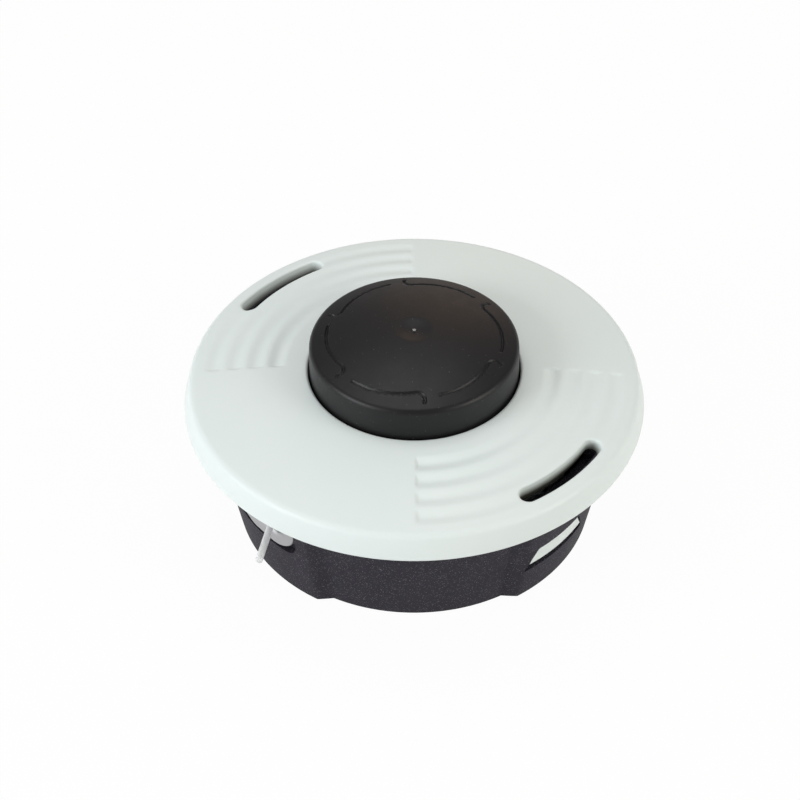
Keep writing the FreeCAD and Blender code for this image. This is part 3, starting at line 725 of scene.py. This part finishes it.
def cup_floor():
    """Hub, ribs, floor and post, as a closed ring of rows. Each rib is a pair of columns that stand on
    the same line as the floor's next to it, so the step between them is upright."""
    turn = 2 * math.pi / RIB_COUNT
    reach = RECESS_R + MM
    seat_r, seat_z = SHANK_R + NUT_FIT, NUT_LENGTH + NUT_FIT
    between = np.linspace(0, 1, 8)
    rows = []
    for r, z, rib_z in (
        (None, NUT_HEAD, None),
        (None, 0, None),
        (HUB_R, 0, None),
        (HUB_R, FLOOR_LOW, RIB_LOW),
        (reach, FLOOR_LOW, RIB_LOW),
        (reach, FLOOR_TOP, None),
        (POST_R, FLOOR_TOP, None),
        (POST_R, POST_TOP, None),
        (SHAFT_R, POST_TOP, None),
        (SHAFT_R, seat_z, None),
        (seat_r, seat_z, None),
        (seat_r, NUT_HEAD, None),
    ):
        half = math.asin(RIB_HALF / (r or HUB_R))
        one = np.r_[-half, half, half + between * (turn - 2 * half)]
        angle = (one + turn * (np.arange(RIB_COUNT)[:, None] + 0.5)).ravel()
        height = np.tile(np.r_[rib_z or z, rib_z or z, 0 * between + z], RIB_COUNT)
        radius = hexagon(angle) + NUT_FIT if r is None else np.full(angle.shape, r)
        rows.append(around(radius, angle, height))
    return ring_strip(*rows, rows[0])


cup = add_piece("cup", cup_wall() + [cup_floor()], "housing", "housing", bevel=0.35 * MM)

# %% [markdown]
# ## Eyelets
# Each eyelet is a metal frame set into a lobe, with a rounded lip that the line slides over. One
# profile, from the flange over the lip and down the sleeve, is carried round a rounded rectangle.

# %% Eyelets
FLANGE_BACK, BORE_MID, SLEEVE_DEPTH = 2.2 * MM, 3.5 * MM, 6.8 * MM
CORNER_STEPS = 10


def rounded_rectangle(half_w, half_h, corner):
    """Once round a rectangle with round corners, as (along, up), for arrays of sizes."""
    a = np.linspace(0, math.pi / 2, CORNER_STEPS + 1)
    quarter = [(1, 1, 0), (-1, 1, 1), (-1, -1, 2), (1, -1, 3)]
    along = [sx * (half_w - corner) + corner * np.cos(a + k * math.pi / 2) for sx, sy, k in quarter]
    up = [sy * (half_h - corner) + corner * np.sin(a + k * math.pi / 2) for sx, sy, k in quarter]
    return np.concatenate(along, axis=1), np.concatenate(up, axis=1)


def eyelet(name, node, deg):
    """Rows go from the flange's back edge over its face and lip, down the bore, and back outside
    the sleeve. A row has a size and a depth under the lobe's skin."""
    edge, lip = 0.6 * MM, 1.5 * MM
    a = np.linspace(0, math.pi / 2, 6)
    lip_share = lip / (FLANGE[0] - BORE[0])
    edge_share = edge / (FLANGE[0] - BORE[0])
    share = np.r_[1, 1 - edge_share * (1 - np.cos(a)), lip_share * (1 - np.sin(a)), 0, 0]
    depth = np.r_[FLANGE_BACK, edge * (1 - np.sin(a)), lip * (1 - np.cos(a)), BORE_MID, SLEEVE_DEPTH]
    sizes = BORE + share[:, None] * (FLANGE - BORE)
    sizes = np.concatenate((sizes, [SLEEVE, SLEEVE, FLANGE]))
    depth = np.r_[depth, SLEEVE_DEPTH, FLANGE_BACK, FLANGE_BACK][:, None]
    along, up = rounded_rectangle(*(sizes[:, k:k + 1] for k in range(3)))
    skin = FOOT_R + LOBE + FLARE * (EYELET_Z + up)
    out = np.sqrt((skin - depth) ** 2 - along ** 2)
    mid = math.radians(deg)
    x = out * math.cos(mid) - along * math.sin(mid)
    y = out * math.sin(mid) + along * math.cos(mid)
    points = np.stack((x, y, EYELET_Z + up), axis=-1)
    return add_piece(name, [ring_strip(*points)], "housing", node)


eyelets = [
    eyelet("line_guide_left", "eyelet_left", GUIDES[0]),
    eyelet("line_guide_right", "eyelet_right", GUIDES[1]),
]

# %% [markdown]
# ## Drive nut
# The steel insert under the hub has a hexagon head and a left-hand thread. The thread is a wave
# on the bore's radius that climbs one pitch a turn, the other way round from a common screw.

# %% Drive nut
THREAD_IN, THREAD_OUT, THREAD_PITCH = 4.32 * MM, 5.0 * MM, 1.25 * MM
MOUTH_R, NUT_CHAMFER = 5.4 * MM, 0.3 * MM
NUT_COLS = 96

nut_angles = np.linspace(0, 2 * math.pi, NUT_COLS, endpoint=False)
bore_z = np.linspace(NUT_LENGTH - 0.7 * MM, 0.9 * MM, 160)


def nut_points():
    """Outside: the hexagon with chamfered corners, then the shank. Inside: the climbing thread."""
    head = hexagon(nut_angles)
    chamfer = np.minimum(head, NUT_HALF + NUT_CHAMFER)
    ring = np.ones(NUT_COLS)
    outer = [
        (0 * ring + MOUTH_R, 0 * ring),
        (chamfer, 0 * ring),
        (head, (head - chamfer) * 0.6),
        (head, 0 * ring + NUT_HEAD),
        (0 * ring + SHANK_R, 0 * ring + NUT_HEAD),
        (0 * ring + SHANK_R, 0 * ring + NUT_LENGTH),
        (0 * ring + MOUTH_R, 0 * ring + NUT_LENGTH),
    ]
    phase = bore_z[:, None] / THREAD_PITCH + nut_angles / (2 * math.pi)
    tooth = np.clip(1.6 * np.abs(2 * np.mod(phase, 1) - 1) - 0.3, 0, 1)
    bore = THREAD_IN + (THREAD_OUT - THREAD_IN) * tooth
    r = np.concatenate([[o[0] for o in outer], bore, [0 * ring + MOUTH_R]])
    z = np.concatenate([[o[1] for o in outer], bore_z[:, None] * ring, [0 * ring]])
    return around(r, nut_angles, z)


nut = add_piece("shaft_nut", [ring_strip(*nut_points())], "housing", "drive_nut")

# %% [markdown]
# ## Feed spring
# The spring stands on the cup's floor and pushes the washer and the spool up. It is a round wire
# carried along a helix whose first and last half turns lie flat. When the knob is bumped the washer
# comes down, so the spring flattens towards the floor by the same way.

# %% Feed spring
WIRE_R, WIRE_GAP, HALF_TURNS = 0.8 * MM, 0.01 * MM, 14
SPRING_LOW, SPRING_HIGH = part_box("spring")[0].z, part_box("spring")[1].z


def spring_points():
    """Rings of wire along the helix. A ring of no size at each end closes the wire."""
    t = np.r_[0, np.linspace(0, HALF_TURNS, 24 * HALF_TURNS + 1), HALF_TURNS][:, None]
    rise = np.clip((t - 1) / (HALF_TURNS - 2), 0, 1)
    wire = np.r_[0, np.full(len(t) - 2, WIRE_R - WIRE_GAP), 0][:, None]
    a = np.linspace(0, 2 * math.pi, 12, endpoint=False)
    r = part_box("spring")[1].x - WIRE_R + wire * np.cos(a)
    z = SPRING_LOW + WIRE_R + rise * (SPRING_HIGH - SPRING_LOW - 2 * WIRE_R) + wire * np.sin(a)
    return around(r, math.pi * t, z)


spring = add_piece("feed_spring", [ring_strip(*spring_points())], "housing", "spring")
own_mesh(spring)

# %% [markdown]
# ## Shared surface effects
# Four effects are used by several finishes, so each is a node group: a moulded grain that breaks
# up roughness and bumps the surface, pale specks such as glass fibre leaves in dark nylon, a soft
# cloud that shifts a colour a little from place to place, and the distance from the drive axis.

# %% Node groups
def new_group(name, inputs, outputs):
    """A shader node group with named value inputs and outputs."""
    group = bpy.data.node_groups.new(name, "ShaderNodeTree")
    for title, kind, start in inputs:
        socket = group.interface.new_socket(title, in_out="INPUT", socket_type=kind)
        if start is not None:
            socket.default_value = start
    for title, kind in outputs:
        group.interface.new_socket(title, in_out="OUTPUT", socket_type=kind)
    return group, group.nodes.new("NodeGroupInput"), group.nodes.new("NodeGroupOutput")


def add_node(tree, kind, links=(), **values):
    """A node with its properties set, and its inputs set or linked by name."""
    node = tree.nodes.new(kind)
    for key, value in values.items():
        setattr(node, key, value)
    for name, value in links:
        if hasattr(value, "is_output"):
            tree.links.new(value, node.inputs[name])
        else:
            node.inputs[name].default_value = value
    return node


def maths(tree, operation, *values):
    """The result of a Math node."""
    return add_node(tree, "ShaderNodeMath", enumerate(values), operation=operation).outputs[0]


def mixed(tree, share, first, second):
    """Two colours mixed by a share."""
    links = [("Factor", share), (6, first), (7, second)]
    return add_node(tree, "ShaderNodeMix", links, data_type="RGBA").outputs[2]


def grain_group():
    """Moulded grain: fine noise for bump and a coarser noise for roughness."""
    group, start, end = new_group("moulded_grain", [
        ("Vector", "NodeSocketVector", None),
        ("Size", "NodeSocketFloat", 2500.0),
        ("Rough", "NodeSocketFloat", 0.5),
        ("Spread", "NodeSocketFloat", 0.1),
    ], [("Height", "NodeSocketFloat"), ("Roughness", "NodeSocketFloat")])
    fine = add_node(group, "ShaderNodeTexNoise", [
        ("Vector", start.outputs["Vector"]), ("Scale", start.outputs["Size"]), ("Detail", 3.0)])
    coarse = add_node(group, "ShaderNodeTexNoise", [
        ("Vector", start.outputs["Vector"]), ("Scale", 160.0), ("Detail", 4.0)])
    centred = maths(group, "SUBTRACT", coarse.outputs["Fac"], 0.5)
    rough = maths(group, "MULTIPLY_ADD", centred, start.outputs["Spread"], start.outputs["Rough"])
    group.links.new(fine.outputs["Fac"], end.inputs["Height"])
    group.links.new(rough, end.inputs["Roughness"])
    return group


def speck_group():
    """Pale specks: small cells, of which a few are kept by their random colour, and only near their
    middle."""
    group, start, end = new_group("pale_specks", [
        ("Vector", "NodeSocketVector", None),
        ("Size", "NodeSocketFloat", 1500.0),
        ("Keep", "NodeSocketFloat", 0.1),
        ("Reach", "NodeSocketFloat", 0.3),
    ], [("Mask", "NodeSocketFloat")])
    cells = add_node(group, "ShaderNodeTexVoronoi", [
        ("Vector", start.outputs["Vector"]), ("Scale", start.outputs["Size"])])
    parts = add_node(group, "ShaderNodeSeparateColor", [("Color", cells.outputs["Color"])])
    kept = maths(group, "LESS_THAN", parts.outputs["Red"], start.outputs["Keep"])
    near = maths(group, "LESS_THAN", cells.outputs["Distance"], start.outputs["Reach"])
    bright = maths(group, "MULTIPLY", maths(group, "MULTIPLY", kept, near), parts.outputs["Green"])
    group.links.new(bright, end.inputs["Mask"])
    return group


def cloud_group():
    """Soft cloud: two colours mixed by a wide noise."""
    group, start, end = new_group("soft_cloud", [
        ("Vector", "NodeSocketVector", None),
        ("Size", "NodeSocketFloat", 30.0),
        ("First", "NodeSocketColor", None),
        ("Second", "NodeSocketColor", None),
    ], [("Color", "NodeSocketColor")])
    noise = add_node(group, "ShaderNodeTexNoise", [
        ("Vector", start.outputs["Vector"]), ("Scale", start.outputs["Size"]), ("Detail", 3.0)])
    colour = mixed(group, noise.outputs["Fac"], start.outputs["First"], start.outputs["Second"])
    group.links.new(colour, end.inputs["Color"])
    return group


def reach_group():
    """Distance from the drive axis: the length of the place without its height."""
    group, start, end = new_group(
        "axis_reach", [("Vector", "NodeSocketVector", None)], [("Reach", "NodeSocketFloat")])
    flat = add_node(group, "ShaderNodeVectorMath", [
        (0, start.outputs["Vector"]), (1, (1, 1, 0))], operation="MULTIPLY")
    away = add_node(group, "ShaderNodeVectorMath", [(0, flat.outputs["Vector"])], operation="LENGTH")
    group.links.new(away.outputs["Value"], end.inputs["Reach"])
    return group


GRAIN, SPECKS, CLOUD, REACH = grain_group(), speck_group(), cloud_group(), reach_group()
print("groups:", [group.name for group in (GRAIN, SPECKS, CLOUD, REACH)])

# %% [markdown]
# ## Finishes
# Each finish is one function: it starts from a Principled shader, sets the plain values on it, and
# places the shared groups with values of its own. Patterns read object coordinates, in metres.

# %% Finish helpers
def paint(red, green, blue):
    """A colour as it looks on a screen, 0 to 255, turned into linear light."""
    share = np.array((red, green, blue)) / 255
    linear = np.where(share <= 0.04045, share / 12.92, ((share + 0.055) / 1.055) ** 2.4)
    return (*linear, 1.0)


def new_finish(name, **values):
    """A material with one Principled shader, its plain values set by name."""
    material = bpy.data.materials.new(name)
    material.use_nodes = True
    tree = material.node_tree
    shader = tree.nodes["Principled BSDF"]
    for key, value in values.items():
        shader.inputs[key.replace("_", " ")].default_value = value
    where = tree.nodes.new("ShaderNodeTexCoord").outputs["Object"]
    return material, tree, shader, where


def place(tree, group, where, **values):
    """A group placed in a material, with its inputs set by name."""
    node = tree.nodes.new("ShaderNodeGroup")
    node.node_tree = group
    tree.links.new(where, node.inputs["Vector"])
    for key, value in values.items():
        node.inputs[key].default_value = value
    return node


def clouded(tree, where, first, second, size):
    """A colour that shifts softly between two."""
    return place(tree, CLOUD, where, First=first, Second=second, Size=size).outputs["Color"]


def grained(tree, shader, where, size, rough, spread, strength, depth):
    """Grain in the gloss and, as a bump, in the surface."""
    grain = place(tree, GRAIN, where, Size=size, Rough=rough, Spread=spread)
    tree.links.new(grain.outputs["Roughness"], shader.inputs["Roughness"])
    bump = add_node(tree, "ShaderNodeBump", [
        ("Height", grain.outputs["Height"]), ("Strength", strength), ("Distance", depth)])
    tree.links.new(bump.outputs["Normal"], shader.inputs["Normal"])


# %% Nylon finishes
def dark_nylon(name, first, second, sheen, rough, grain_size, speck_keep, speck_colour):
    """Dark moulded nylon: clouded colour, pale specks, grain in gloss and bump."""
    material, tree, shader, where = new_finish(name, Specular_IOR_Level=sheen)
    plain = clouded(tree, where, first, second, 35.0)
    specks = place(tree, SPECKS, where, Size=4000.0, Keep=speck_keep, Reach=0.45)
    colour = mixed(tree, specks.outputs["Mask"], plain, speck_colour)
    tree.links.new(colour, shader.inputs["Base Color"])
    grained(tree, shader, where, grain_size, rough, 0.16, 0.35, 0.06 * MM)
    return material


def mark_feed_and_glint(material):
    """The pale end of the nub on the axis: partly where the nylon was fed in and broke off, partly a
    painted glint.
    """
    tree = material.node_tree
    shader = tree.nodes["Principled BSDF"]
    plain = shader.inputs["Base Color"].links[0].from_socket
    where = tree.nodes.new("ShaderNodeTexCoord").outputs["Object"]
    near = maths(tree, "LESS_THAN", place(tree, REACH, where).outputs["Reach"], FEED_MARK_AND_GLINT_R)
    tree.links.new(mixed(tree, near, plain, FEED_MARK_AND_GLINT_PALE), shader.inputs["Base Color"])


def slot_shade(tree, where):
    """Share of painted shade on the slots' walls. It grows towards their foot."""
    z = add_node(tree, "ShaderNodeSeparateXYZ", [(0, where)]).outputs["Z"]
    deep = add_node(tree, "ShaderNodeMapRange", [
        ("Value", z), ("From Min", SHOULDER_Z), ("From Max", RIM_Z)])
    reach = place(tree, REACH, where).outputs["Reach"]
    near = maths(tree, "COMPARE", reach, SLOT_R, SHADE_HALF_W)
    above = maths(tree, "GREATER_THAN", z, SKIRT_Z)
    return maths(tree, "MULTIPLY", maths(tree, "MULTIPLY", near, above), deep.outputs["Result"])


def white_nylon():
    """Natural white nylon: slightly cool, satin, a little light passing under the skin."""
    material, tree, shader, where = new_finish(
        "white_nylon", Specular_IOR_Level=0.4, Subsurface_Weight=0.15,
        Subsurface_Radius=(1.0, 1.0, 1.0), Subsurface_Scale=0.8 * MM)
    plain = clouded(tree, where, paint(224, 233, 232), paint(229, 235, 232), 22.0)
    # The slots' walls are darkened here by painted shade, more towards their foot.
    colour = mixed(tree, slot_shade(tree, where), plain, SLOT_PAINTED_SHADE)
    tree.links.new(colour, shader.inputs["Base Color"])
    grained(tree, shader, where, 1700.0, 0.42, 0.12, 0.12, 0.03 * MM)
    return material


def line_nylon():
    """Translucent whitish line, a little glossy."""
    material, tree, shader, where = new_finish(
        "line_nylon", Specular_IOR_Level=0.5, Subsurface_Weight=1.0,
        Subsurface_Radius=(1.0, 1.0, 1.0), Subsurface_Scale=5.0 * MM)
    colour = clouded(tree, where, paint(224, 226, 228), paint(233, 234, 236), 90.0)
    tree.links.new(colour, shader.inputs["Base Color"])
    grained(tree, shader, where, 900.0, 0.34, 0.1, 0.1, 0.03 * MM)
    return material


# %% Metal finishes
def plain_metal(name, first, second, rough, grain_size, strength):
    """Bare metal: clouded colour and a matt grain."""
    material, tree, shader, where = new_finish(name, Metallic=1.0)
    tree.links.new(clouded(tree, where, first, second, 120.0), shader.inputs["Base Color"])
    grained(tree, shader, where, grain_size, rough, 0.14, strength, 0.05 * MM)
    return material


# Size and colour of the pale spot on the nub's tip: partly its feed mark, partly a painted glint.
FEED_MARK_AND_GLINT_R = 0.5 * MM
SHADE_HALF_W = SLOT_R - REGISTER_R + 0.2 * MM
KNOB_DARK, KNOB_LIGHT = paint(13, 12, 15), paint(20, 18, 20)
CUP_DARK, CUP_LIGHT = paint(40, 37, 45), paint(48, 45, 53)
SPECK_GREY, SPECK_PALE = paint(90, 90, 92), paint(118, 116, 122)
# The second colour here is painted shade for the slots' walls.
FEED_MARK_AND_GLINT_PALE, SLOT_PAINTED_SHADE = paint(146, 143, 143), paint(92, 92, 84)

finishes = {
    "cover": white_nylon(),
    "knob": dark_nylon("knob_nylon", KNOB_DARK, KNOB_LIGHT, 0.35, 0.43, 2600.0, 0.006, SPECK_GREY),
    "housing": dark_nylon("cup_nylon", CUP_DARK, CUP_LIGHT, 0.18, 0.68, 2200.0, 0.2, SPECK_PALE),
    "spool": dark_nylon("spool_nylon", CUP_DARK, CUP_LIGHT, 0.35, 0.5, 2400.0, 0.02, SPECK_GREY),
    "eyelet": plain_metal("matt_metal", paint(168, 168, 170), paint(186, 186, 188), 0.5, 1900.0, 0.3),
    "steel": plain_metal("plain_steel", paint(150, 150, 152), paint(172, 172, 174), 0.34, 1200.0, 0.15),
    "line": line_nylon(),
}
# The pale spot on the knob's nub is partly its feed mark and partly a painted glint.
mark_feed_and_glint(finishes["knob"])


def dress(piece, slot):
    piece.data.materials.clear()
    piece.data.materials.append(finishes[slot])


for slot, pieces in (("cover", [lid]), ("knob", [knob]), ("housing", [cup]), ("eyelet", eyelets),
                     ("steel", [nut, spring]), ("line", line_pieces)):
    for piece in pieces:
        dress(piece, slot)
print("finishes:", sorted(finishes))

# %% [markdown]
# ## Pieces that keep their packed form
# The spool, the winding and the thrust washer sit inside the cup. Their solids are right as they
# are, so they only get a finish.

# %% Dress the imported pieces
for part in frame["record"]["subparts"]:
    dress(nodes[part["node"]], part["material_slot"])
print("packed pieces dressed:", len(nodes))

# %% [markdown]
# ## Stage and light
# The head stands on a white floor. The camera sees the floor partly as plain white, so the ground
# stays white and still takes the shadow. Large soft lamps, the strongest at the front left, and an
# even white surround give the broad highlights of a studio. A weak amber one at the back warms the
# far edge of the knob.

# %% Floor and surround
FLOOR_HALF, FLOOR_GREY = 3.0, (0.85, 0.85, 0.85, 1)
WHITE_SHARE, SURROUND = 0.96, 0.34


def white_floor():
    mesh = bpy.data.meshes.new("floor")
    signs = ((-1, -1), (1, -1), (1, 1), (-1, 1))
    mesh.from_pydata([(FLOOR_HALF * x, FLOOR_HALF * y, 0) for x, y in signs], [], [(0, 1, 2, 3)])
    floor = bpy.data.objects.new("floor", mesh)
    bpy.context.scene.collection.objects.link(floor)
    material, tree, shader, where = new_finish(
        "floor_white", Base_Color=FLOOR_GREY, Roughness=0.9, Specular_IOR_Level=0.0)
    rays = tree.nodes.new("ShaderNodeLightPath").outputs
    seen = maths(tree, "MAXIMUM", rays["Is Camera Ray"], rays["Is Glossy Ray"])
    seen = maths(tree, "MAXIMUM", seen, rays["Is Transmission Ray"])
    share = maths(tree, "MULTIPLY", seen, WHITE_SHARE)
    glow = add_node(tree, "ShaderNodeEmission", [("Color", (1, 1, 1, 1)), ("Strength", 1.0)])
    mix = add_node(tree, "ShaderNodeMixShader", [
        (0, share), (1, shader.outputs[0]), (2, glow.outputs[0])])
    tree.links.new(mix.outputs[0], tree.nodes["Material Output"].inputs["Surface"])
    mesh.materials.append(material)


def surround(strength):
    world = bpy.data.worlds.new("surround")
    world.use_nodes = True
    tree = world.node_tree
    back = tree.nodes["Background"]
    back.inputs["Color"].default_value = (1, 1, 1, 1)
    rays = tree.nodes.new("ShaderNodeLightPath")
    level = add_node(tree, "ShaderNodeMix", [
        ("Factor", rays.outputs["Is Camera Ray"]), (2, strength), (3, 1.0)], data_type="FLOAT")
    tree.links.new(level.outputs[0], back.inputs["Strength"])
    bpy.context.scene.world = world


white_floor()
surround(SURROUND)
bpy.context.scene.view_settings.view_transform = "Standard"

# %% Lamps
def soft_lamp(name, place_at, size, power, colour):
    data = bpy.data.lights.new(name, "AREA")
    data.shape = "RECTANGLE"
    data.color = colour
    data.size, data.size_y = size
    data.energy = power
    lamp = bpy.data.objects.new(name, data)
    lamp.location = place_at
    lamp.rotation_euler = (LOOK_AT - Vector(place_at)).to_track_quat("-Z", "Y").to_euler()
    bpy.context.scene.collection.objects.link(lamp)


PLAIN, COOL = (1.0, 1.0, 1.0), (0.96, 0.99, 1.0)
WARM, AMBER = (1.0, 0.98, 0.91), (1.0, 0.62, 0.36)
soft_lamp("key", (-0.9, -0.5, 0.45), (0.6, 0.6), 7.6, COOL)
soft_lamp("fill", (0.9, -0.42, 0.48), (0.6, 0.6), 4.9, WARM)
soft_lamp("top", (-0.1, 0.25, 1.1), (0.8, 0.6), 3.1, PLAIN)
soft_lamp("back", (0.15, 0.95, 0.42), (0.4, 0.3), 0.45, AMBER)
